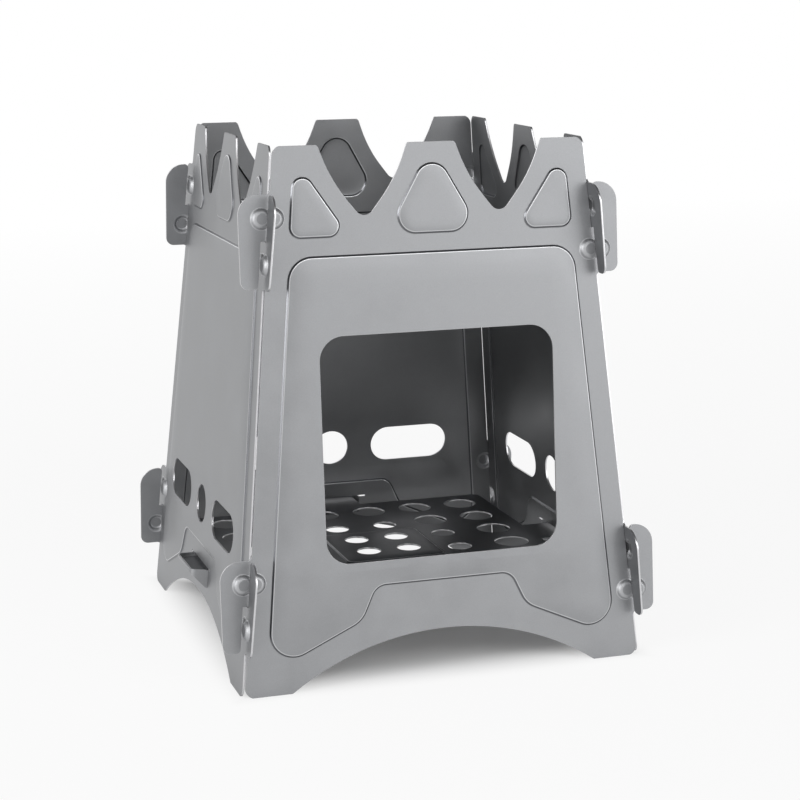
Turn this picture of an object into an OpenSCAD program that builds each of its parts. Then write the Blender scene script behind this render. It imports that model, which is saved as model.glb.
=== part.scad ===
// Flat-pack twig stove: four pressed sheet-metal walls that lean inward and hook into each other
// at the corners, round a perforated fire grate whose tongues lie in pockets of three walls.
// Every wall is drawn flat, u across and v up its slope, with its inner face in the u-v plane,
// and is then stood up on its side of the square. The origin is on the ground, in the middle.

/* [Stove] */
// Height from the ground to the tips of the crown
height = 175; // [150:1:200]
// Distance between the inner faces of opposite walls at the ground
base_span = 138; // [132:1:150]
// Distance between the inner faces of opposite walls at the tips of the crown
top_span = 105.2; // [102:0.2:112]
// Thickness of the sheet metal
sheet_t = 0.6; // [0.4:0.1:1]
// Height of the pressed fields over the face of the sheet
field_h = 0.6; // [0.3:0.1:0.9]
// Width of the shoulder of a pressed field, measured in the plane of the sheet
shoulder_w = 0.8; // [0.7:0.1:1.2]

/* [Corner joints] */
// Height up the slope of the middle of the lower ears
ear_low = 30; // [24:1:40]
// Height up the slope of the middle of the upper ears
ear_high = 146; // [110:1:148]
// Height of an ear
ear_h = 29.8; // [26:0.2:34]
// Reach of an ear past the corner, at its middle
ear_reach = 9.1; // [8:0.1:11]
// Radius of the upper outer corner of an ear
ear_top_r = 6.5; // [3:0.5:6.5]
// Radius of the lower outer corner of an ear
ear_bottom_r = 2.8; // [1:0.2:3]
// Radius where an ear grows out of the wall
ear_root_r = 1.5; // [0.5:0.1:2]
// Radius at the mouth of a slot
mouth_r = 1.3; // [0.3:0.1:1.4]
// Height of the bump that fills the slot it passes through
bump_h = 1.3; // [0.8:0.1:1.5]
// Half height of a bump
bump_r = 3.4; // [2.6:0.1:3.6]
// Radius of the fillet at the foot of a bump
bump_foot_r = 0.5; // [0.3:0.1:0.8]
// Radius of the shoulder of a bump
bump_shoulder_r = 1.5; // [1.3:0.1:2]
// Length of a bump across the corner
bump_length = 10.8; // [8:0.2:11]
// Distance of a bump from the middle of its ear
bump_off = 7.2; // [6.6:0.1:8]
// Side clearance of a sheet in a slot
slot_fit = 0.15; // [0.05:0.05:0.3]
// Gap between the closed ends of two slots that are hooked together
lap_gap = 0.2; // [0:0.05:0.4]
// Gap between the side edge of a wall and the inner face of its neighbour
edge_gap = 0.1; // [0.05:0.05:0.6]

/* [Feet and crown] */
// Height of the arch between the feet
arch_h = 16.4; // [10:0.2:18]
// Radius of the arch
arch_r = 93; // [85:1:110]
// Radius of the outer corner of a foot
foot_r = 3.4; // [1:0.2:4]
// Depth of the valleys of the crown
valley_d = 22.6; // [18:0.2:24]
// Distance of a valley from the middle of the wall
valley_u = 23; // [22:0.2:25]
// Width of a valley between the tips beside it
valley_w = 29.9; // [26:0.1:32]
// Radius at the bottom of a valley
valley_r = 3.5; // [2:0.5:5]
// Radius of the hollow flanks of the crown
flank_r = 50; // [30:5:60]
// Radius of the corners of the tips
tip_r = 1.8; // [0.8:0.2:2.4]
// Radius of the outer top corner of a wall
crown_corner_r = 3.6; // [1:0.2:4]

/* [Pressed fields] */
// Distance of the large field from the corner of the stove
field_margin = 7.2; // [6.6:0.2:10]
// Height up the slope of the top of the large field
field_top = 140.8; // [122:0.2:142]
// Height up the slope of the flat stretch at the bottom of the large field
field_flat = 32.6; // [30:0.2:36]
// Half width of that flat stretch, to the corner where it turns down
field_flat_u = 23.2; // [18:0.2:26]
// Height by which the field drops beside the flat stretch
field_drop = 11.2; // [8:0.2:12]
// Slope of the field's lower sides in degrees
field_slope = 25; // [15:1:30]
// Radius of the outer corners of the large field
field_r = 8.3; // [5:0.1:9]
// Height up the slope of the bottom of the triangles
triangle_v = 146.4; // [144:0.2:148]
// Half width of the middle triangle at its bottom, between its unrounded corners
triangle_u = 16.7; // [14:0.1:18]
// Radius of the corners of the middle triangle
triangle_r = 6.2; // [4:0.1:6.6]
// Slope of the long side of the outer triangles in degrees
wing_slope = 55.7; // [50:0.1:58]
// Distance of the outer triangles from the corner of the stove
wing_margin = 6.8; // [6:0.2:8]
// Width of the outer triangles at their bottom, between their unrounded corners
wing_w = 20.6; // [18:0.2:21]
// Radius of the corners of the outer triangles
wing_r = 3.8; // [2:0.1:4]

/* [Openings] */
// Half width of the fuel window in the front wall
window_u = 40; // [30:0.5:44]
// Height up the slope of the bottom of the fuel window
window_low = 41; // [38:0.5:60]
// Height up the slope of the top of the fuel window
window_high = 115; // [90:0.5:120]
// Radius of the corners of the fuel window
window_r = 8; // [3:0.5:12]
// Height up the slope of the middle of the air vents
vent_v = 47.3; // [44:0.1:56]
// Radius of the round vent and of the ends of the long vents
vent_r = 6.7; // [4:0.1:8]
// Distance of the middle of a long vent from the middle of the wall
vent_u = 31.7; // [28:0.1:34]
// Length of the straight stretch of a long vent
vent_straight = 17.4; // [10:0.2:20]

/* [Fire grate] */
// Height of the underside of the grate over the ground
grate_z = 25.1; // [24.4:0.1:25.3]
// Width of the square grate
grate_w = 115.8; // [112:0.2:120]
// Radius of the corners of the grate
grate_r = 3.5; // [1:0.5:8]
// Height of the pressed middle field of the grate
grate_field_h = 0.5; // [0.3:0.1:0.8]
// Width of the pressed middle field of the grate
grate_field_w = 36.8; // [32:0.2:38]
// Distance between the large holes
hole_pitch = 18.5; // [17:0.1:18.8]
// Radius of the large holes
hole_r = 6.2; // [4:0.1:7]
// Radius of the small holes
small_r = 4.3; // [3:0.1:4.6]
// Distance of the four middle holes from the centre lines
middle_hole = 7.5; // [6:0.1:9]
// Distance of the second ring of small holes from the centre lines
ring_hole = 26.3; // [25:0.1:27.5]
// Width of a tongue
tongue_w = 19; // [12:0.5:20]
// Radius of the corners of a tongue
tongue_r = 2; // [0.5:0.5:3]

/* [Grate pockets] */
// Height up the slope of the slit over a pocket
slit_v = 26.8; // [26.4:0.1:27.2]
// Height of the slit
slit_h = 0.6; // [0.4:0.1:1]
// Length of the slit
slit_length = 28; // [27:0.5:32]
// Distance by which a pocket stands out from the wall
pocket_out = 6.1; // [5:0.1:7]
// Height of a pocket under the slit
pocket_h = 6.8; // [6.4:0.1:8]
// Height of the upright lip at the rim of a pocket
pocket_lip = 1.1; // [0.8:0.1:1.4]
// Width of a pocket at the wall
pocket_w = 24.6; // [23:0.2:26]
// Width of a pocket at its rim
pocket_rim_w = 21.6; // [21.4:0.2:23]
// Radius of the corners of a pocket
pocket_r = 2.5; // [1:0.1:3]

/* [Hidden] */
$fn = 64;
steel = [0.62, 0.63, 0.64];
steel_dark = [0.52, 0.53, 0.54];
// Lean of the walls from the upright
lean = atan((base_span - top_span) / 2 / height);
// Overlap of cuts past the faces they go through
over = 1;
// Length past the ground and crown planes, cut off level once a wall stands
trim = 0.2;
wall_top = height / cos(lean);
slot_out = sheet_t + bump_h + slot_fit;
sharp_r = 0.25;

// Distance of the corner, where the inner faces of two walls meet, from the middle of a wall
function corner_u(v) = base_span / 2 - v * sin(lean);

// Side edge of a wall, just inside its neighbour
function edge_u(v) = corner_u(v) - edge_gap;

// Outer edge of an ear whose middle is at vc
function ear_u(vc) = corner_u(vc) + ear_reach;

function flip(path) = [for (i = [len(path) - 1 : -1 : 0]) [-path[i][0], path[i][1], path[i][2]]];

// Outlines are closed paths, anticlockwise, whose every [x, y, r] is a corner rounded to radius r.
// An arc is [start, corner, end, centre, r, side], and side is positive at an outer corner.
function unit(v) = v / norm(v);
function turn(a, b) = atan2(a[0] * b[1] - a[1] * b[0], a * b);
function arc_at(before, q, after) =
    let (p = [q[0], q[1]],
         into = unit(p - [before[0], before[1]]),
         out = unit([after[0], after[1]] - p),
         bend = turn(into, out),
         reach = q[2] * tan(abs(bend) / 2),
         centre = p - into * reach + sign(bend) * q[2] * [-into[1], into[0]])
    [p - into * reach, p, p + out * reach, centre, q[2], sign(bend)];
function arcs_of(path) =
    let (n = len(path))
    [for (i = [0 : n - 1]) arc_at(path[(i + n - 1) % n], path[i], path[(i + 1) % n])];

// The same path moved inward by d, with its radii kept concentric
function inset(path, d) =
    let (n = len(path), p = [for (q = path) [q[0], q[1]]])
    [for (i = [0 : n - 1])
        let (into = unit(p[i] - p[(i + n - 1) % n]), out = unit(p[(i + 1) % n] - p[i]),
             n1 = [-into[1], into[0]], n2 = [-out[1], out[0]],
             q = p[i] + (n1 + n2) * d / (1 + n1 * n2),
             r = max(0.1, path[i][2] - sign(turn(into, out)) * d))
        [q[0], q[1], r]];

// Right-hand ear, going up: the solid half is below and the slot is open at the top
function right_ear(vc) =
    let (low = vc - ear_h / 2, high = vc + ear_h / 2, end = vc - lap_gap / 2)
    [[edge_u(low), low, ear_root_r],
     [ear_u(vc), low, ear_bottom_r],
     [ear_u(vc), high, ear_top_r],
     [corner_u(high) + slot_out, high, mouth_r],
     [corner_u(end) + slot_out, end, sharp_r],
     [edge_u(end), end, sharp_r]];

// Left-hand ear, drawn on the right and going up: the slot is open at the bottom
function left_ear(vc) =
    let (low = vc - ear_h / 2, high = vc + ear_h / 2, end = vc + lap_gap / 2)
    [[edge_u(end), end, sharp_r],
     [corner_u(end) + slot_out, end, sharp_r],
     [corner_u(low) + slot_out, low, mouth_r],
     [ear_u(vc), low, ear_bottom_r],
     [ear_u(vc), high, ear_top_r],
     [edge_u(high), high, ear_root_r]];

// Right half of the crown, from the outer corner to the middle tip
tip_v = wall_top + trim;
valley_floor = wall_top - valley_d;
flank_high = 70;
flank_low = 51.3;
valley_v = valley_floor - valley_r * (1 / cos(flank_low) - 1);
flank_u = (tip_v - valley_v - valley_w / 2 * tan(flank_low)) / (tan(flank_high) - tan(flank_low));
flank_v = tip_v - flank_u * tan(flank_high);
function valley(side) = [
    [valley_u + side * valley_w / 2, tip_v, tip_r],
    [valley_u + side * (valley_w / 2 - flank_u), flank_v, flank_r]];
crown = [
    [edge_u(tip_v), tip_v, crown_corner_r],
    each valley(1),
    [valley_u, valley_v, valley_r],
    valley(-1)[1],
    valley(-1)[0]];

wall_outline = [
    [edge_u(0), -trim, foot_r],
    each right_ear(ear_low),
    each right_ear(ear_high),
    each crown,
    each flip([
        [edge_u(0), -trim, foot_r],
        each left_ear(ear_low),
        each left_ear(ear_high),
        each crown])];

// Large pressed field: its sides follow the corners, and its foot steps down beside the arch
function field_u(v) = corner_u(v) - field_margin;
step_u = field_flat_u + field_drop / tan(65);
step_v = field_flat - field_drop;
toe_u = (field_u(step_v) + step_u * tan(field_slope) * sin(lean)) / (1 + tan(field_slope) * sin(lean))
    + (field_u(step_v) - step_u) * tan(field_slope) * sin(lean);
toe_v = step_v - (toe_u - step_u) * tan(field_slope);
field_half = [
    [field_flat_u, field_flat, 5],
    [step_u, step_v, 9],
    [field_u(toe_v), toe_v, field_r],
    [field_u(field_top), field_top, field_r]];
field_path = [each field_half, each flip(field_half)];

triangle_side = 60;
triangle_path = [
    [-triangle_u, triangle_v, triangle_r],
    [triangle_u, triangle_v, triangle_r],
    [0, triangle_v + triangle_u * tan(triangle_side), triangle_r]];

// Outer triangle: one side follows the corner of the stove
wing_in = corner_u(triangle_v) - wing_margin - wing_w;
wing_rise = wing_w / (1 / tan(wing_slope) + sin(lean));
wing_path = [
    [wing_in, triangle_v, wing_r],
    [wing_in + wing_w, triangle_v, wing_r],
    [wing_in + wing_w - wing_rise * sin(lean), triangle_v + wing_rise, wing_r]];

// Piece of a disc that rounds one corner: the part beyond the chord of its arc, and a sliver inside.
// The disc is a hair larger than its arc, so that it crosses the two lines instead of grazing them.
proud = 0.003;
module corner_piece(arc) {
    r = arc[4] + min(proud, arc[4] / 1000);
    spare = 2 * acos(arc[4] / r) * arc[5];
    from = atan2(arc[0][1] - arc[3][1], arc[0][0] - arc[3][0]) - spare;
    to = atan2(arc[2][1] - arc[3][1], arc[2][0] - arc[3][0]) + spare;
    start = arc[3] + r * [cos(from), sin(from)];
    end = arc[3] + r * [cos(to), sin(to)];
    chord = (arc[0] + arc[2]) / 2;
    eye = chord + unit(arc[3] - chord) * min(0.2, norm(arc[3] - chord) / 2);
    intersection() {
        polygon([eye, 2 * start - eye, 2 * arc[1] - eye, 2 * end - eye]);
        translate(arc[3]) circle(r, $fn = r > 20 ? 256 : 64);
    }
}
// Outline with its arcs, drawn about its own middle
function spread(path, k) = [for (q = path) q[k]];
function middle(path, k) = round((min(spread(path, k)) + max(spread(path, k))) / 2);
module shape(path) {
    centre = [middle(path, 0), middle(path, 1)];
    arcs = arcs_of([for (q = path) [q[0] - centre[0], q[1] - centre[1], q[2]]]);
    translate(centre)
        difference() {
            union() {
                polygon([for (arc = arcs) each (arc[4] > 0 ? [arc[0], arc[2]] : [arc[1]])]);
                for (arc = arcs)
                    if (arc[4] > 0 && arc[5] > 0) corner_piece(arc);
            }
            for (arc = arcs)
                if (arc[4] > 0 && arc[5] < 0) corner_piece(arc);
        }
}
module flat(path, from, to) {
    translate([0, 0, from])
        linear_extrude(height = to - from)
            shape(path);
}

// Outside and inside of a pressed field
module field_outside(path) {
    flat(path, 0, sheet_t + field_h);
}
module field_inside(path) {
    flat(inset(path, shoulder_w), -over, field_h);
}

module pressed_outside() {
    field_outside(field_path);
    field_outside(triangle_path);
    field_outside(wing_path);
    field_outside(flip(wing_path));
}
module pressed_inside() {
    field_inside(field_path);
    field_inside(triangle_path);
    field_inside(wing_path);
    field_inside(flip(wing_path));
}

// Half section of a bump from its middle line out, as the tool forms it: foot fillet, slope, shoulder.
// The inside of the bump is the same section, one sheet thickness further in.
bump_slope = 58;
bump_inner_r = bump_r - sheet_t * tan(bump_slope / 2);
bump_half_outside = [
    [0, sheet_t / 2, 0],
    [bump_r + 2 * bump_foot_r, sheet_t / 2, 0],
    [bump_r + 2 * bump_foot_r, sheet_t, 0],
    [bump_r, sheet_t, bump_foot_r],
    [bump_r - bump_h / tan(bump_slope), sheet_t + bump_h, bump_shoulder_r],
    [0, sheet_t + bump_h, 0]];
bump_half_inside = [
    [0, -over, 0],
    [bump_inner_r + 2 * bump_foot_r, -over, 0],
    [bump_inner_r + 2 * bump_foot_r, 0, 0],
    [bump_inner_r, 0, bump_foot_r + sheet_t],
    [bump_inner_r - bump_h / tan(bump_slope), bump_h, bump_shoulder_r - sheet_t],
    [0, bump_h, 0]];
module bump(half_section) {
    run = bump_length / 2 - bump_r;
    for (side = [-1, 1])
        translate([side * run, 0, 0])
            rotate_extrude($fn = 64) shape(half_section);
    translate([-run, 0, 0])
        rotate([90, 0, 90])
            linear_extrude(height = 2 * run) {
                shape(half_section);
                mirror([1, 0]) shape(half_section);
            }
}
module each_bump() {
    for (vc = [ear_low, ear_high]) {
        translate([-corner_u(vc + bump_off) - sheet_t / 2, vc + bump_off, 0]) children();
        translate([corner_u(vc - bump_off) + sheet_t / 2, vc - bump_off, 0]) children();
    }
}

// Pocket pressed outward below a slit: a ramp seen from the side, a blunt trapezium seen from above
pocket_top = slit_v - slit_h / 2;
pocket_low = pocket_top - pocket_h;
ramp = atan2(pocket_h - pocket_lip, pocket_out);
function ramp_v(w) = pocket_low + (w - sheet_t) * tan(ramp) + sheet_t / cos(ramp);
module pocket_block(half_wall, half_rim, out, r, section) {
    intersection() {
        translate([slit_length / 2, 0, 0])
            rotate([0, -90, 0])
                linear_extrude(height = slit_length)
                    shape(section);
        translate([0, pocket_top + slit_h, 0])
            rotate([90, 0, 0])
                linear_extrude(height = pocket_h + slit_h + over)
                    shape([
                        [-half_wall, -over, 0],
                        [half_wall, -over, 0],
                        [half_rim, out, r],
                        [-half_rim, out, r]]);
    }
}
module pocket_outside() {
    edge = sheet_t + pocket_out;
    pocket_block(pocket_w / 2, pocket_rim_w / 2, edge, pocket_r, [
        [0, pocket_low, 0],
        [sheet_t, pocket_low, 2],
        [edge, pocket_top - pocket_lip, 2],
        [edge, pocket_top, 0],
        [0, pocket_top, 0]]);
}
module pocket_inside() {
    pocket_block(pocket_w / 2 - sheet_t, pocket_rim_w / 2 - sheet_t, pocket_out, pocket_r - sheet_t, [
        [-over, ramp_v(-over), 0],
        [pocket_out, ramp_v(pocket_out), 1.4],
        [pocket_out, pocket_top + over, 0],
        [-over, pocket_top + over, 0]]);
}

module long_vent(u) {
    translate([u - vent_straight / 2, vent_v - vent_r]) square([vent_straight, 2 * vent_r]);
    translate([u - vent_straight / 2, vent_v]) circle(vent_r);
    translate([u + vent_straight / 2, vent_v]) circle(vent_r);
}
module through() {
    translate([0, 0, -over])
        linear_extrude(height = sheet_t + field_h + 2 * over)
            children();
}

// Flat wall before its own openings are cut, with its face towards +Z
module wall_blank() {
    difference() {
        union() {
            flat(wall_outline, 0, sheet_t);
            pressed_outside();
            each_bump() bump(bump_half_outside);
        }
        pressed_inside();
        each_bump() bump(bump_half_inside);
        through() translate([0, arch_h - arch_r]) circle(arch_r, $fn = 256);
    }
}

// Stands a flat wall up on its side of the square; side 0 is the front, 1 the right, 2 the back
module stand(side) {
    difference() {
        rotate([0, 0, 90 * side])
            translate([0, -base_span / 2, 0])
                rotate([90 - lean, 0, 0])
                    children();
        translate([-base_span, -base_span, -base_span])
            cube([2 * base_span, 2 * base_span, base_span]);
        translate([-base_span, -base_span, height])
            cube([2 * base_span, 2 * base_span, base_span]);
    }
}

module fuel_wall() {
    difference() {
        wall_blank();
        through()
            shape([
                [-window_u, window_low, window_r],
                [window_u, window_low, window_r],
                [window_u, window_high, window_r],
                [-window_u, window_high, window_r]]);
    }
}

module vented_wall() {
    difference() {
        union() {
            wall_blank();
            pocket_outside();
        }
        pocket_inside();
        translate([-slit_length / 2, pocket_top, -over])
            cube([slit_length, slit_h, sheet_t + 2 * over]);
        through() {
            long_vent(-vent_u);
            long_vent(vent_u);
            translate([0, vent_v]) circle(vent_r);
        }
    }
}

module front_wall() {
    color(steel) stand(0) fuel_wall();
}
module right_wall() {
    color(steel) stand(1) vented_wall();
}
module back_wall() {
    color(steel) stand(2) vented_wall();
}
module left_wall() {
    color(steel) stand(3) vented_wall();
}

// The tongue ends where its underside would meet the ramp of its pocket, less the clearance
tongue_reach = (grate_z / cos(lean) - slot_fit - pocket_low - sheet_t / cos(ramp) + sheet_t * tan(ramp))
    / (tan(ramp) + tan(lean));
tongue_end = base_span / 2 - grate_z * tan(lean) + tongue_reach / cos(lean);

grate_field_path = let (h = grate_field_w / 2) [[-h, -h, 3], [h, -h, 3], [h, h, 3], [-h, h, 3]];

module tongue(side) {
    rotate([0, 0, 90 * side])
        flat([
            [-tongue_w / 2, -tongue_end, tongue_r],
            [tongue_w / 2, -tongue_end, tongue_r],
            [tongue_w / 2, -grate_w / 2 + grate_r, 0],
            [-tongue_w / 2, -grate_w / 2 + grate_r, 0]], 0, sheet_t);
}

module hole(x, y, r) {
    translate([x, y, -over]) cylinder(r = r, h = sheet_t + grate_field_h + 2 * over);
}

// Outer ring of large holes, one large hole at each corner of the second ring, the rest small
module grate_holes() {
    for (side = [0 : 3])
        rotate([0, 0, 90 * side]) {
            for (i = [-2 : 2]) hole((i + 0.5) * hole_pitch, 2.5 * hole_pitch, hole_r);
            hole(1.5 * hole_pitch, 1.5 * hole_pitch, hole_r);
            hole(hole_pitch / 2, ring_hole, small_r);
            hole(-hole_pitch / 2, ring_hole, small_r);
            hole(middle_hole, middle_hole, small_r);
        }
}

module fire_grate() {
    half = grate_w / 2;
    color(steel_dark)
        translate([0, 0, grate_z])
            difference() {
                union() {
                    flat([[-half, -half, grate_r], [half, -half, grate_r],
                          [half, half, grate_r], [-half, half, grate_r]], 0, sheet_t);
                    flat(grate_field_path, 0, sheet_t + grate_field_h);
                    for (side = [1 : 3]) tongue(side);
                }
                flat(inset(grate_field_path, shoulder_w), -over, grate_field_h);
                grate_holes();
            }
}

front_wall();
left_wall();
back_wall();
right_wall();
fire_grate();
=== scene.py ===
"""Looks of a flat-pack camping wood stove, built on its CAD frame.

Each wall and the grate are worked from a merged copy of their own solid: the pressed shoulders
are drawn soft, the pressed fields are crowned, the sheared edges are eased, and the sheet gets
its blasted finish. The solids give every size and place, so nothing here moves a piece.
"""

from itertools import accumulate
from math import cos, pi, radians, sin, sqrt, tan

import bmesh
import bpy
from mathutils import Matrix, Vector
from mathutils.geometry import intersect_point_line


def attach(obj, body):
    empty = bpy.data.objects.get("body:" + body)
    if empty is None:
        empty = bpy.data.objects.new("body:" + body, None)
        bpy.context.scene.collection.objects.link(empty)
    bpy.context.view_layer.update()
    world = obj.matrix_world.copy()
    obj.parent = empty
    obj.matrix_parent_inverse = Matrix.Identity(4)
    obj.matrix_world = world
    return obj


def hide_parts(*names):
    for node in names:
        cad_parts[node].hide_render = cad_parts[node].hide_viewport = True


bl_info = {
    "name": "Camping Wood Stove",
    "version": (1, 0, 0),
    "blender": (4, 5, 0),
    "location": "View3D > Sidebar > Wood Stove",
    "description": "Gives a pressed sheet-metal twig stove its finish and its studio",
    "category": "Object",
}

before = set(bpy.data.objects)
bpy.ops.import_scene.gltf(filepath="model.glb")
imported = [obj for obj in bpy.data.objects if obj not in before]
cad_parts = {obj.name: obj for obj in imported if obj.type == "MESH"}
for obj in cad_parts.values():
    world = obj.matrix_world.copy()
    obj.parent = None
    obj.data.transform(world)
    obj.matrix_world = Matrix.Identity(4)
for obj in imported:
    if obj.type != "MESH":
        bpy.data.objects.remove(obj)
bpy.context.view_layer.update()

MM = 0.001
WALLS = ("front_wall", "right_wall", "back_wall", "left_wall")

# material slots of a sheet: its faces, its cut edges, the two parts of a bend (the steep part
# dark as painted shade, the upper bend lighter as a painted highlight), and the bumps (lighter
# as a painted highlight)
BLASTED, SHEARED, LINE, BURNISHED_HIGHLIGHT, BUMP = range(5)

# joining the triangles of a solid into whole faces
SAME_POINT = 0.002 * MM
SAME_PLANE = radians(0.6)

# a face is flat on the sheet where the cosine between their normals is over FLAT, and stands
# square to it where that is under UPRIGHT
FLAT = 0.999
UPRIGHT = 0.01
# an edge that rises less than this runs along the sheet
LEVEL = 0.02 * MM
# the pressed fields are lower than this, and the pockets for the grate's tongues higher
LOW_STEP = 0.8 * MM
# the bumps are smaller than this, and other curved forms larger
BUMP_SIZE = 14 * MM
# a bend is steep where it leans more than this out of the sheet
STEEP = radians(30)
# faces that turn less than this into each other are shaded as one
SMOOTH = radians(38)

# a corner of a rim stays in place if the ways that its faces draw it nearly cancel out
LEAST_WAY = 0.2
FOOT_SEGMENTS, SHOULDER_SEGMENTS, EDGE_SEGMENTS = 4, 5, 2

# the bands in which a field rises from its rim, as shares of their whole width
BAND_SHARES = (0.12, 0.18, 0.28, 0.42)
# a field with holes gets bands along the sides that are longer than this
LONG_SIDE = 8 * MM
# a corner this near to a cut lies on it
ON_CUT = 0.001 * MM
# the height still missing falls with this power of the distance left to the level part
DOME_POWER = 3
# a corner nearer to the rim than this share of the width is on the sloping part
SLOPING = 0.99

# soft boxes, with their place, width and height in metres and power in watts
LAMPS = (
    ("key lamp", (0.95, -1.15, 0.35), 1.1, 0.8, 6.2),
    ("side lamp", (-1.4, -0.6, 0.65), 0.65, 1.1, 14.0),
    ("top lamp", (0.1, -1.3, 0.9), 1.3, 0.45, 5.0),
    ("back lamp", (-0.95, 1.5, 0.7), 1.0, 0.6, 2.2),
)
LAMP_AIM = Vector((0, 0, 90 * MM))

# half the width of the floor in metres, and how pale its paint is
FLOOR_REACH = 6.0
FLOOR_TONE = 0.8
# how the floor's glow rises with the distance from the stove's middle: in which way, where it
# starts and ends, and from what to what; the camera sees the first two together
GLOW_NEAR = ("SMOOTHSTEP", 50 * MM, 76 * MM, 0.08, 0.9)
GLOW_FAR = ("LINEAR", 250 * MM, 1200 * MM, 0.0, 0.1)
GLOW_MIRRORED = ("SMOOTHSTEP", 53 * MM, 88 * MM, 0.05, 1.0)
# how the air dims with a direction's rise or turn: its axis, start, end and the light left
CEILING = ("Z", 0.3, 0.75, 0.12)
FLAG = ("X", 0.5, 0.85, 0.15)


def linear(code):
    """An sRGB hex colour as the linear colour that shaders and lamps take."""
    parts = [int(code[i : i + 2], 16) / 255 for i in (1, 3, 5)]
    return [c / 12.92 if c <= 0.04045 else ((c + 0.055) / 1.055) ** 2.4 for c in parts]


class StoveSheet(bpy.types.PropertyGroup):
    """How the sheet is pressed and cut."""

    lean: bpy.props.FloatProperty(
        name="Lean",
        description="Lean of the walls from the upright",
        default=radians(5.354),
        subtype="ANGLE",
    )
    shoulder_run: bpy.props.FloatProperty(
        name="Shoulder run",
        description="How far the upper rim of a pressed step is drawn back, to make it slope",
        default=0.6 * MM,
        unit="LENGTH",
    )
    shoulder_round: bpy.props.FloatProperty(
        name="Shoulder round",
        description="Size of the soft bend at the upper rim of a pressed step",
        default=0.24 * MM,
        unit="LENGTH",
    )
    foot_round: bpy.props.FloatProperty(
        name="Foot round",
        description="Size of the bend at the foot of a pressed step",
        default=0.14 * MM,
        unit="LENGTH",
    )
    dome_width: bpy.props.FloatProperty(
        name="Dome width",
        description="Width of the band in which a large pressed field rises from its rim",
        default=8.5 * MM,
        unit="LENGTH",
    )
    dome_share: bpy.props.FloatProperty(
        name="Dome share",
        description="Most width of that band, as a share of the square root of the field's area",
        default=0.19,
        subtype="FACTOR",
        min=0.0,
        max=1.0,
    )
    dome_slope: bpy.props.FloatProperty(
        name="Dome slope",
        description="Slope of a pressed field at its rim",
        default=radians(11.0),
        subtype="ANGLE",
    )
    edge_round: bpy.props.FloatProperty(
        name="Edge round",
        description="Size of the eased corner along a sheared edge",
        default=0.2 * MM,
        unit="LENGTH",
    )


class StoveFinish(bpy.types.PropertyGroup):
    """Colour and roughness of the sheet."""

    wall_colour: bpy.props.FloatVectorProperty(
        name="Wall colour",
        description="Colour of the blasted sheet of the walls",
        subtype="COLOR",
        default=linear("#939496"),
    )
    # painted shade: the grate's grey is darker than the walls' to stand in for the shade deep in
    # the stove
    grate_shade_colour: bpy.props.FloatVectorProperty(
        name="Grate colour",
        description="Colour of the blasted sheet of the grate",
        subtype="COLOR",
        default=linear("#646568"),
    )
    edge_colour: bpy.props.FloatVectorProperty(
        name="Edge colour",
        description="Colour of the sheared edges",
        subtype="COLOR",
        default=linear("#CFCFD1"),
    )
    # painted shade: this dark tone of the steep part of a pressed step stands in for the shade
    # in its crease
    line_shade_colour: bpy.props.FloatVectorProperty(
        name="Line colour",
        description="Colour of the tight bends that blasting doesn't reach",
        subtype="COLOR",
        default=linear("#6A6B6E"),
    )
    # partly painted highlight: the press burnishes these bends, which makes them smoother, and
    # their lighter tone stands in for the highlight along them
    bend_highlight_colour: bpy.props.FloatVectorProperty(
        name="Bend colour",
        description="Colour of the bends that the press burnishes",
        subtype="COLOR",
        default=linear("#BEBFC1"),
    )
    # painted highlight: the bumps' lighter tone stands in for the light on their domes
    bump_highlight_colour: bpy.props.FloatVectorProperty(
        name="Bump colour",
        description="Colour of the bumps, where the sheet is drawn",
        subtype="COLOR",
        default=linear("#ACADAF"),
    )
    wall_roughness: bpy.props.FloatProperty(
        name="Wall roughness",
        description="Roughness of the blasted faces of the walls",
        default=0.48,
        subtype="FACTOR",
        min=0.0,
        max=1.0,
    )
    bump_roughness: bpy.props.FloatProperty(
        name="Bump roughness",
        description="Roughness of the bumps",
        default=0.52,
        subtype="FACTOR",
        min=0.0,
        max=1.0,
    )
    grate_roughness: bpy.props.FloatProperty(
        name="Grate roughness",
        description="Roughness of the blasted faces of the grate",
        default=0.44,
        subtype="FACTOR",
        min=0.0,
        max=1.0,
    )
    bare_roughness: bpy.props.FloatProperty(
        name="Bare roughness",
        description="Roughness of the sheared edges and of the bends",
        default=0.3,
        subtype="FACTOR",
        min=0.0,
        max=1.0,
    )


class StoveStudio(bpy.types.PropertyGroup):
    """The camera, and the tone of floor and air."""

    camera_place: bpy.props.FloatVectorProperty(
        name="Camera place",
        description="Where the camera stands",
        subtype="TRANSLATION",
        default=(-210.9 * MM, -662.4 * MM, 228.0 * MM),
    )
    camera_yaw: bpy.props.FloatProperty(
        name="Camera yaw",
        description="Turn of the camera to the right of straight ahead",
        default=radians(17.866),
        subtype="ANGLE",
    )
    camera_pitch: bpy.props.FloatProperty(
        name="Camera pitch",
        description="Tilt of the camera below level",
        default=radians(12.081),
        subtype="ANGLE",
    )
    camera_roll: bpy.props.FloatProperty(
        name="Camera roll",
        description="Roll of the camera about its line of sight",
        default=radians(0.283),
        subtype="ANGLE",
    )
    lens: bpy.props.FloatProperty(
        name="Lens",
        description="Focal length in millimetres",
        default=89.99,
        unit="CAMERA",
    )
    sensor: bpy.props.FloatProperty(
        name="Sensor",
        description="Width of the sensor in millimetres",
        default=36.0,
        unit="CAMERA",
    )
    shift_x: bpy.props.FloatProperty(
        name="Shift right",
        description="Shift of the frame to the right, as a share of its width",
        default=0.01402,
    )
    shift_y: bpy.props.FloatProperty(
        name="Shift up",
        description="Shift of the frame upward, as a share of its width",
        default=0.00081,
    )
    background: bpy.props.FloatVectorProperty(
        name="Background",
        description="Colour of the floor and of the air behind the stove",
        subtype="COLOR",
        default=linear("#FFFFFF"),
    )


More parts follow.
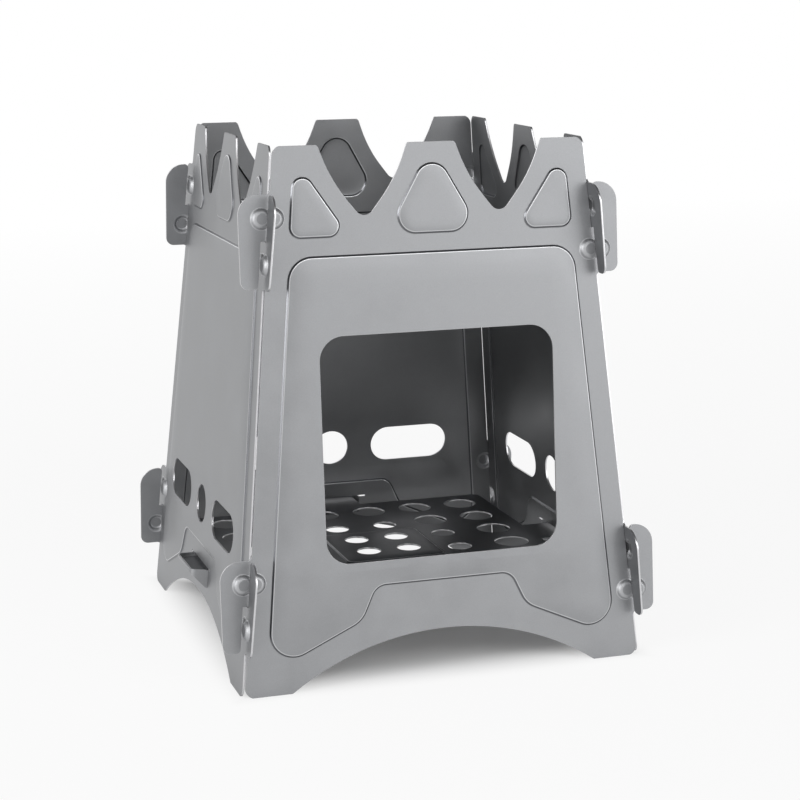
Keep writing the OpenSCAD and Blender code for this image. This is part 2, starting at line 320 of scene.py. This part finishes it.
def add_node(tree, kind, settings=None, links=None):
    """Adds one shader node.

    Settings that name an input fill it, and others are the node's own. Links are given as
    input: (node, output).
    """
    made = tree.nodes.new(kind)
    for key, value in (settings or {}).items():
        if isinstance(key, int) or key in made.inputs:
            made.inputs[key].default_value = value
        else:
            setattr(made, key, value)
    for key, (source, output) in (links or {}).items():
        tree.links.new(source.outputs[output], made.inputs[key])
    return made


def new_material(name):
    """An empty material with its tree."""
    material = bpy.data.materials.new(name)
    material.use_nodes = True
    material.node_tree.nodes.clear()
    return material, material.node_tree


def blasted_sheet(name, colour, roughness):
    """Bead-blasted sheet metal: a satin grey without grain, faintly cloudy from handling."""
    material, tree = new_material(name)
    place = add_node(tree, "ShaderNodeTexCoord")
    # clouds some 17 mm across, three in 50 mm, from rolling and blasting
    clouds = add_node(
        tree,
        "ShaderNodeTexNoise",
        {"Scale": 3 / (50 * MM), "Detail": 3.0, "Roughness": 0.55},
        {"Vector": (place, "Object")},
    )
    # blast marks of about 0.4 mm, coarser than real beads so that they show
    grit = add_node(
        tree,
        "ShaderNodeTexNoise",
        {"Scale": 26 / (10 * MM), "Detail": 2.0, "Roughness": 0.6},
        {"Vector": (place, "Object")},
    )
    # the clouds' noise keeps mostly between these
    cloud_span = {"From Min": 0.3, "From Max": 0.7}
    tone = add_node(
        tree,
        "ShaderNodeMapRange",
        {**cloud_span, "To Min": 0.92, "To Max": 1.07},
        {"Value": (clouds, "Fac")},
    )
    speck = add_node(
        tree,
        "ShaderNodeMapRange",
        {"From Min": 0.25, "From Max": 0.75, "To Min": 0.965, "To Max": 1.035},
        {"Value": (grit, "Fac")},
    )
    both = add_node(
        tree,
        "ShaderNodeMath",
        {"operation": "MULTIPLY"},
        {0: (tone, "Result"), 1: (speck, "Result")},
    )
    shade = add_node(
        tree,
        "ShaderNodeVectorMath",
        {"operation": "SCALE", 0: colour},
        {"Scale": (both, "Value")},
    )
    dull = add_node(
        tree,
        "ShaderNodeMapRange",
        {**cloud_span, "To Min": roughness - 0.05, "To Max": roughness + 0.06},
        {"Value": (clouds, "Fac")},
    )
    dents = add_node(
        tree,
        "ShaderNodeBump",
        {"Strength": 0.18, "Distance": 0.02 * MM},
        {"Height": (grit, "Fac")},
    )
    metal = add_node(
        tree,
        "ShaderNodeBsdfPrincipled",
        {"Metallic": 1.0},
        {
            "Base Color": (shade, "Vector"),
            "Roughness": (dull, "Result"),
            "Normal": (dents, "Normal"),
        },
    )
    add_node(tree, "ShaderNodeOutputMaterial", None, {"Surface": (metal, "BSDF")})
    return material


def sheared_edge(name, colour, roughness):
    """Sheared edge of sheet metal: bare and bright, with marks of the punch 1 mm apart."""
    material, tree = new_material(name)
    place = add_node(tree, "ShaderNodeTexCoord")
    marks = add_node(
        tree,
        "ShaderNodeTexNoise",
        {"Scale": 9 / (10 * MM), "Detail": 2.0},
        {"Vector": (place, "Object")},
    )
    tone = add_node(
        tree,
        "ShaderNodeMapRange",
        {"To Min": 0.85, "To Max": 1.05},
        {"Value": (marks, "Fac")},
    )
    shade = add_node(
        tree,
        "ShaderNodeVectorMath",
        {"operation": "SCALE", 0: colour},
        {"Scale": (tone, "Result")},
    )
    metal = add_node(
        tree,
        "ShaderNodeBsdfPrincipled",
        {"Metallic": 1.0, "Roughness": roughness},
        {"Base Color": (shade, "Vector")},
    )
    add_node(tree, "ShaderNodeOutputMaterial", None, {"Surface": (metal, "BSDF")})
    return material


def smooth_metal(name, colour, roughness):
    """Sheet metal drawn smooth by the press: an even grey, for the narrow bends; the grey is
    dark as painted shade for the steep lines and light as a painted highlight for the upper
    bends.
    """
    material, tree = new_material(name)
    metal = add_node(
        tree,
        "ShaderNodeBsdfPrincipled",
        {"Base Color": (*colour, 1.0), "Metallic": 1.0, "Roughness": roughness},
    )
    add_node(tree, "ShaderNodeOutputMaterial", None, {"Surface": (metal, "BSDF")})
    return material


def facing(face, normal):
    """1 or -1 for a face flat on the sheet's outer or inner side, 0 for any other."""
    along = face.normal.dot(normal)
    return (along > FLAT) - (along < -FLAT)


def is_step(face, normal):
    """True for the upright side of a pressed form.

    It stands square to the sheet and has a flat face in its inner corner, which a cut edge
    hasn't.
    """
    if abs(face.normal.dot(normal)) > UPRIGHT:
        return False
    return any(
        len(edge.link_faces) == 2
        and not edge.is_convex
        and any(facing(other, normal) for other in edge.link_faces)
        for edge in face.edges
    )


def joined(start, test):
    """The faces that join a face and pass the test, in the order in which they are found."""
    group, known = [start], {start}
    for face in group:
        for edge in face.edges:
            for other in edge.link_faces:
                if other not in known and test(other):
                    known.add(other)
                    group.append(other)
    return group


def merged_copy(node_name):
    """A bmesh of a CAD node with its triangles joined into whole faces."""
    sheet = bmesh.new()
    sheet.from_mesh(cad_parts[node_name].data)
    bmesh.ops.remove_doubles(sheet, verts=sheet.verts, dist=SAME_POINT)
    bmesh.ops.dissolve_degenerate(sheet, edges=sheet.edges, dist=SAME_POINT)
    bmesh.ops.dissolve_limit(
        sheet,
        angle_limit=SAME_PLANE,
        verts=sheet.verts,
        edges=sheet.edges,
        use_dissolve_boundaries=False,
    )
    sheet.normal_update()
    return sheet


def slope_steps(sheet, normal, run):
    """Draws the upper rim of each pressed step back, and marks low steps as dark lines of
    painted shade.

    Gives the edges of the rims and those of the feet.
    """
    rims, feet, ways = set(), set(), {}
    for face in [face for face in sheet.faces if is_step(face, normal)]:
        heights = [vert.co.dot(normal) for vert in face.verts]
        if max(heights) - min(heights) < LOW_STEP:
            # a low step is drawn as a dark line, painted shade in its crease
            face.material_index = LINE
        for edge in face.edges:
            along = edge.verts[1].co - edge.verts[0].co
            if abs(along.dot(normal)) > LEVEL:
                continue
            if not edge.is_convex:
                feet.add(edge)
                continue
            rims.add(edge)
            for vert in edge.verts:
                ways.setdefault(vert, []).append(-face.normal)
    for vert, found in ways.items():
        mean = sum(found, Vector()) / len(found)
        if mean.length > LEAST_WAY:
            vert.co += mean * run / mean.length_squared
    sheet.normal_update()
    return rims, feet


def bend(sheet, edges, size, segments):
    """Rounds the given edges, and gives the faces of the bends."""
    made = bmesh.ops.bevel(
        sheet,
        geom=[edge for edge in edges if edge.is_valid],
        offset=size,
        offset_type="OFFSET",
        affect="EDGES",
        segments=segments,
        profile=0.5,
        material=-1,
        clamp_overlap=True,
        loop_slide=True,
    )
    sheet.normal_update()
    return made["faces"]


def mark_bends(normal, feet, rims):
    """The press burnishes the upper bend, which also gets a lighter tone as a painted highlight,
    and the steep part of a step gets a dark tone as painted shade in its crease.
    """
    for face in feet | rims:
        steep = abs(face.normal.dot(normal)) < cos(STEEP)
        face.material_index = LINE if steep else BURNISHED_HIGHLIGHT if face in rims else BLASTED


def mark_bumps(sheet, normal, bends):
    """Marks the bumps, which are the small curved forms of a sheet."""

    def curved(face):
        return face not in bends and UPRIGHT < abs(face.normal.dot(normal)) < FLAT

    known = set()
    for face in sheet.faces:
        if face in known or not curved(face):
            continue
        group = joined(face, curved)
        known.update(group)
        start = face.verts[0].co
        if all((vert.co - start).length < BUMP_SIZE for part in group for vert in part.verts):
            for part in group:
                # the bumps' slot has a lighter tone, a painted highlight
                part.material_index = BUMP


def beside(point, lines):
    """Distance of a point from the nearest of some straight lines between two ends."""
    gaps = []
    for start, end in lines:
        share = intersect_point_line(point, start, end)[1]
        gaps.append((point - start.lerp(end, min(max(share, 0.0), 1.0))).length)
    return min(gaps)


def pressed_fields(sheet, normal, bends):
    """The fields with a step down at their rim, each as its faces and its rim's lines."""

    def level(face):
        return face not in bends and facing(face, normal)

    fields, known = [], set()
    for face in sheet.faces:
        if face in known or not level(face):
            continue
        group = joined(face, level)
        known.update(group)
        height = face.calc_center_median().dot(normal)
        lines = [
            (loop.vert.co.copy(), loop.link_loop_next.vert.co.copy())
            for member in group
            for loop in member.loops
            if any(
                other in bends and other.calc_center_median().dot(normal) < height
                for other in loop.edge.link_faces
            )
        ]
        if lines:
            fields.append((group, lines))
    return fields


def inset_bands(sheet, group, widths):
    """Cuts bands of the given widths along the rim of a field without holes."""
    bands = []
    for width in widths:
        bands += bmesh.ops.inset_region(
            sheet,
            faces=group,
            thickness=width,
            depth=0.0,
            use_boundary=True,
            use_even_offset=True,
        )["faces"]
    return [*bands, *group]


def plane_bands(sheet, group, lines, widths):
    """Cuts bands of the given widths along the long straight sides of a field."""
    edges = {edge for face in group for edge in face.edges}
    verts = {vert for face in group for vert in face.verts}
    geometry = [*group, *edges, *verts]
    upright = group[0].normal.copy()
    for start, end in lines:
        if (end - start).length < LONG_SIDE:
            continue
        inward = upright.cross(end - start).normalized()
        for gap in accumulate(widths):
            geometry = bmesh.ops.bisect_plane(
                sheet,
                geom=geometry,
                dist=ON_CUT,
                plane_co=start + inward * gap,
                plane_no=inward,
            )["geom"]
    return [part for part in geometry if isinstance(part, bmesh.types.BMFace)]


def dome_fields(sheet, normal, bends, form):
    """Lets both sides of each pressed field rise from its rim, ever less steeply.

    Gives the faces that slope.
    """
    sloping = []
    for group, lines in pressed_fields(sheet, normal, bends):
        area = sum(face.calc_area() for face in group)
        width = min(form.dome_width, form.dome_share * sqrt(area))
        rise = width * tan(form.dome_slope) / DOME_POWER
        widths = [share * width for share in BAND_SHARES]
        if len(group) == 1:
            bands = inset_bands(sheet, group, widths)
        else:
            bands = plane_bands(sheet, group, lines, widths)
        verts = {vert for face in bands for vert in face.verts}
        gaps = {vert: beside(vert.co, lines) for vert in verts}
        for vert, gap in gaps.items():
            left = max(0.0, 1 - gap / width)
            vert.co += normal * rise * (1 - left**DOME_POWER)
        sloping += [
            face for face in bands if min(gaps[vert] for vert in face.verts) < SLOPING * width
        ]
    sheet.normal_update()
    return sloping


def ease_edges(sheet, normal, size):
    """Rounds the corners along the sheared edges, and marks the sheared faces."""
    cut = [
        face
        for face in sheet.faces
        if abs(face.normal.dot(normal)) < UPRIGHT and not is_step(face, normal)
    ]
    corners = {
        edge
        for face in cut
        for edge in face.edges
        if len(edge.link_faces) == 2
        and edge.is_convex
        and any(facing(other, normal) for other in edge.link_faces)
    }
    for face in cut:
        face.material_index = SHEARED
    for face in bend(sheet, corners, size, EDGE_SEGMENTS):
        face.material_index = SHEARED


def dress_sheet(node_name, normal, materials):
    """Makes the finished sheet of one CAD node and puts it in the node's place."""
    form = bpy.context.scene.stove_sheet
    sheet = merged_copy(node_name)
    rims, feet = slope_steps(sheet, normal, form.shoulder_run)
    feet = bend(sheet, feet, form.foot_round, FOOT_SEGMENTS)
    rims = bend(sheet, rims, form.shoulder_round, SHOULDER_SEGMENTS)
    feet, rims = ({face for face in made if face.is_valid} for made in (feet, rims))
    mark_bends(normal, feet, rims)
    mark_bumps(sheet, normal, feet | rims)
    sloping = dome_fields(sheet, normal, feet | rims, form)
    ease_edges(sheet, normal, form.edge_round)
    for face in sheet.faces:
        face.smooth = not facing(face, normal)
    for face in sloping:
        if face.is_valid:
            face.smooth = True
    for edge in sheet.edges:
        edge.smooth = len(edge.link_faces) == 2 and edge.calc_face_angle(pi) < SMOOTH
    mesh = bpy.data.meshes.new(node_name + "_sheet")
    sheet.to_mesh(mesh)
    sheet.free()
    for material in materials:
        mesh.materials.append(material)
    piece = bpy.data.objects.new(node_name + "_sheet", mesh)
    bpy.context.scene.collection.objects.link(piece)
    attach(piece, "root")
    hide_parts(node_name)
    return piece


class STOVE_OT_walls(bpy.types.Operator):
    """Dress the four walls in blasted sheet"""

    bl_idname = "stove.walls"
    bl_label = "Walls"

    def execute(self, context):
        finish = context.scene.stove_finish
        lean = context.scene.stove_sheet.lean
        bare = finish.bare_roughness
        # in the order of the slots
        materials = [
            blasted_sheet("blasted wall sheet", finish.wall_colour[:], finish.wall_roughness),
            sheared_edge("sheared sheet edge", finish.edge_colour[:], bare),
            # the dark line tone is painted shade in the creases of the steps
            smooth_metal("pressed sheet line in painted shade", finish.line_shade_colour[:], bare),
            # the burnished bend is smoother, and its lighter tone is a painted highlight
            smooth_metal("burnished sheet bend with painted highlight", finish.bend_highlight_colour[:], bare),
            # the bumps' lighter tone is a painted highlight
            blasted_sheet("drawn sheet bump with painted highlight", finish.bump_highlight_colour[:], finish.bump_roughness),
        ]
        outward = Vector((0, -cos(lean), sin(lean)))
        for side, name in enumerate(WALLS):
            normal = Matrix.Rotation(side * pi / 2, 3, "Z") @ outward
            dress_sheet(name, normal, materials)
        return {"FINISHED"}


class STOVE_OT_grate(bpy.types.Operator):
    """Dress the fire grate in blasted sheet"""

    bl_idname = "stove.grate"
    bl_label = "Fire grate"

    def execute(self, context):
        finish = context.scene.stove_finish
        bare = finish.bare_roughness
        # in the order of the slots, as far as the grate has them: it has no bumps
        materials = [
            # the grate's darker tone is painted shade, as it lies deep in the stove
            blasted_sheet("blasted grate sheet in painted shade", finish.grate_shade_colour[:], finish.grate_roughness),
            sheared_edge("sheared grate edge", finish.edge_colour[:], bare),
            # the dark line tone is painted shade in the creases of the steps
            smooth_metal("pressed grate line in painted shade", finish.line_shade_colour[:], bare),
            # the burnished bend is smoother, and its lighter tone is a painted highlight
            smooth_metal("burnished grate bend with painted highlight", finish.bend_highlight_colour[:], bare),
        ]
        upward = Vector((0, 0, 1))
        dress_sheet("fire_grate", upward, materials)
        return {"FINISHED"}


class STOVE_OT_studio(bpy.types.Operator):
    """Lay the floor, hang the lamps and set up the camera"""

    bl_idname = "stove.studio"
    bl_label = "Studio"

    def execute(self, context):
        studio = context.scene.stove_studio
        lay_floor(studio.background[:])
        light_world(studio.background[:])
        hang_lamps()
        set_camera(studio)
        context.scene.view_settings.view_transform = "Standard"
        return {"FINISHED"}


def floor_paint(colour):
    """Matt white paint that also glows, to the camera and in mirrors, but not under the stove.

    The lamps' light falls on plain paint, so the floor keeps the stove's shadow.
    """
    material, tree = new_material("pale floor")
    chalk = add_node(
        tree, "ShaderNodeBsdfDiffuse", {"Color": (*[FLOOR_TONE * c for c in colour], 1.0)}
    )
    glow = add_node(tree, "ShaderNodeEmission", {"Color": (*colour, 1.0), "Strength": 1.0})
    # how far a point is from the stove's middle, measured square as the stove is
    place = add_node(tree, "ShaderNodeTexCoord")
    split = add_node(tree, "ShaderNodeSeparateXYZ", None, {0: (place, "Object")})
    sides = [
        add_node(tree, "ShaderNodeMath", {"operation": "ABSOLUTE"}, {0: (split, axis)})
        for axis in "XY"
    ]
    reach = add_node(
        tree,
        "ShaderNodeMath",
        {"operation": "MAXIMUM"},
        {0: (sides[0], "Value"), 1: (sides[1], "Value")},
    )
    # to the camera the glow starts at the walls, is strong a little way out and full far off,
    # and in mirrors it starts a little further out
    near, far, mirrored = (
        add_node(
            tree,
            "ShaderNodeMapRange",
            {
                "interpolation_type": way,
                "From Min": start,
                "From Max": end,
                "To Min": least,
                "To Max": most,
            },
            {"Value": (reach, "Value")},
        )
        for way, start, end, least, most in (GLOW_NEAR, GLOW_FAR, GLOW_MIRRORED)
    )
    direct = add_node(
        tree,
        "ShaderNodeMath",
        {"operation": "ADD"},
        {0: (near, "Result"), 1: (far, "Result")},
    )
    path = add_node(tree, "ShaderNodeLightPath")
    seen = path, "Is Camera Ray"
    for other in ("Is Glossy Ray", "Is Transmission Ray"):
        either = add_node(
            tree, "ShaderNodeMath", {"operation": "MAXIMUM"}, {0: seen, 1: (path, other)}
        )
        seen = either, "Value"
    strength = add_node(
        tree,
        "ShaderNodeMix",
        None,
        {
            "Factor": (path, "Is Camera Ray"),
            "A": (mirrored, "Result"),
            "B": (direct, "Value"),
        },
    )
    share = add_node(
        tree,
        "ShaderNodeMath",
        {"operation": "MULTIPLY"},
        {0: seen, 1: (strength, "Result")},
    )
    mix = add_node(
        tree,
        "ShaderNodeMixShader",
        None,
        {"Fac": (share, "Value"), 1: (chalk, "BSDF"), 2: (glow, "Emission")},
    )
    add_node(tree, "ShaderNodeOutputMaterial", None, {"Surface": (mix, "Shader")})
    return material


def lay_floor(colour):
    """A wide floor that is white around the stove, and in its shade underneath."""
    ground = bmesh.new()
    bmesh.ops.create_grid(ground, x_segments=1, y_segments=1, size=FLOOR_REACH)
    mesh = bpy.data.meshes.new("floor")
    ground.to_mesh(mesh)
    ground.free()
    mesh.materials.append(floor_paint(colour))
    floor = bpy.data.objects.new("floor", mesh)
    bpy.context.scene.collection.objects.link(floor)


def light_world(colour):
    """A studio that is white all round, with a dim ceiling and a grey flag on the right."""
    world = bpy.data.worlds.new("studio air")
    world.use_nodes = True
    tree = world.node_tree
    tree.nodes.clear()
    way = add_node(tree, "ShaderNodeTexCoord")
    split = add_node(tree, "ShaderNodeSeparateXYZ", None, {0: (way, "Generated")})
    ceiling, flag = (
        add_node(
            tree,
            "ShaderNodeMapRange",
            {
                "interpolation_type": "SMOOTHSTEP",
                "From Min": start,
                "From Max": end,
                "To Min": 1.0,
                "To Max": left,
            },
            {"Value": (split, axis)},
        )
        for axis, start, end, left in (CEILING, FLAG)
    )
    both = add_node(
        tree,
        "ShaderNodeMath",
        {"operation": "MULTIPLY"},
        {0: (ceiling, "Result"), 1: (flag, "Result")},
    )
    air = add_node(
        tree,
        "ShaderNodeBackground",
        {"Color": (*colour, 1.0)},
        {"Strength": (both, "Value")},
    )
    add_node(tree, "ShaderNodeOutputWorld", None, {"Surface": (air, "Background")})
    bpy.context.scene.world = world


def hang_lamps():
    """Four soft boxes, all aimed at the stove.

    A low wide one stands in front on the right, higher ones on the left and in front, and a
    dim one behind.
    """
    for name, place, width, height, watts in LAMPS:
        lamp = bpy.data.lights.new(name, "AREA")
        lamp.shape = "RECTANGLE"
        lamp.size = width
        lamp.size_y = height
        lamp.energy = watts
        holder = bpy.data.objects.new(name, lamp)
        bpy.context.scene.collection.objects.link(holder)
        holder.location = place
        aim = LAMP_AIM - Vector(place)
        holder.rotation_euler = aim.to_track_quat("-Z", "Y").to_euler()


def set_camera(studio):
    """The camera of the photograph's view."""
    yaw, pitch, roll = studio.camera_yaw, studio.camera_pitch, studio.camera_roll
    ahead = Vector((sin(yaw) * cos(pitch), cos(yaw) * cos(pitch), -sin(pitch)))
    level = Vector((cos(yaw), -sin(yaw), 0))
    plumb = ahead.cross(level)
    right = cos(roll) * level + sin(roll) * plumb
    down = cos(roll) * plumb - sin(roll) * level
    turn = Matrix((right, -down, -ahead)).transposed()
    lens = bpy.data.cameras.new("camera")
    lens.sensor_fit = "HORIZONTAL"
    lens.sensor_width = studio.sensor
    lens.lens = studio.lens
    lens.shift_x = studio.shift_x
    lens.shift_y = studio.shift_y
    lens.clip_start = 10 * MM
    lens.clip_end = 50.0
    camera = bpy.data.objects.new("camera", lens)
    bpy.context.scene.collection.objects.link(camera)
    camera.matrix_world = Matrix.Translation(studio.camera_place) @ turn.to_4x4()
    bpy.context.scene.camera = camera


class STOVE_PT_panel(bpy.types.Panel):
    """The stove's pieces and studio in the sidebar"""

    bl_idname = "STOVE_PT_panel"
    bl_label = "Wood Stove"
    bl_space_type = "VIEW_3D"
    bl_region_type = "UI"
    bl_category = "Wood Stove"

    def draw(self, context):
        layout = self.layout
        for operator in OPERATORS:
            layout.operator(operator.bl_idname)
        for name, group in GROUPS.items():
            box = layout.box()
            for key in group.__annotations__:
                box.prop(getattr(context.scene, name), key)


GROUPS = {
    "stove_sheet": StoveSheet,
    "stove_finish": StoveFinish,
    "stove_studio": StoveStudio,
}
OPERATORS = (STOVE_OT_walls, STOVE_OT_grate, STOVE_OT_studio)


def register():
    for name, group in GROUPS.items():
        bpy.utils.register_class(group)
        setattr(bpy.types.Scene, name, bpy.props.PointerProperty(type=group))
    for operator in OPERATORS:
        bpy.utils.register_class(operator)
    bpy.utils.register_class(STOVE_PT_panel)


def unregister():
    bpy.utils.unregister_class(STOVE_PT_panel)
    for operator in reversed(OPERATORS):
        bpy.utils.unregister_class(operator)
    for name, group in reversed(list(GROUPS.items())):
        delattr(bpy.types.Scene, name)
        bpy.utils.unregister_class(group)


def main():
    register()
    bpy.ops.stove.walls()
    bpy.ops.stove.grate()
    bpy.ops.stove.studio()


if __name__ == "__main__":
    main()
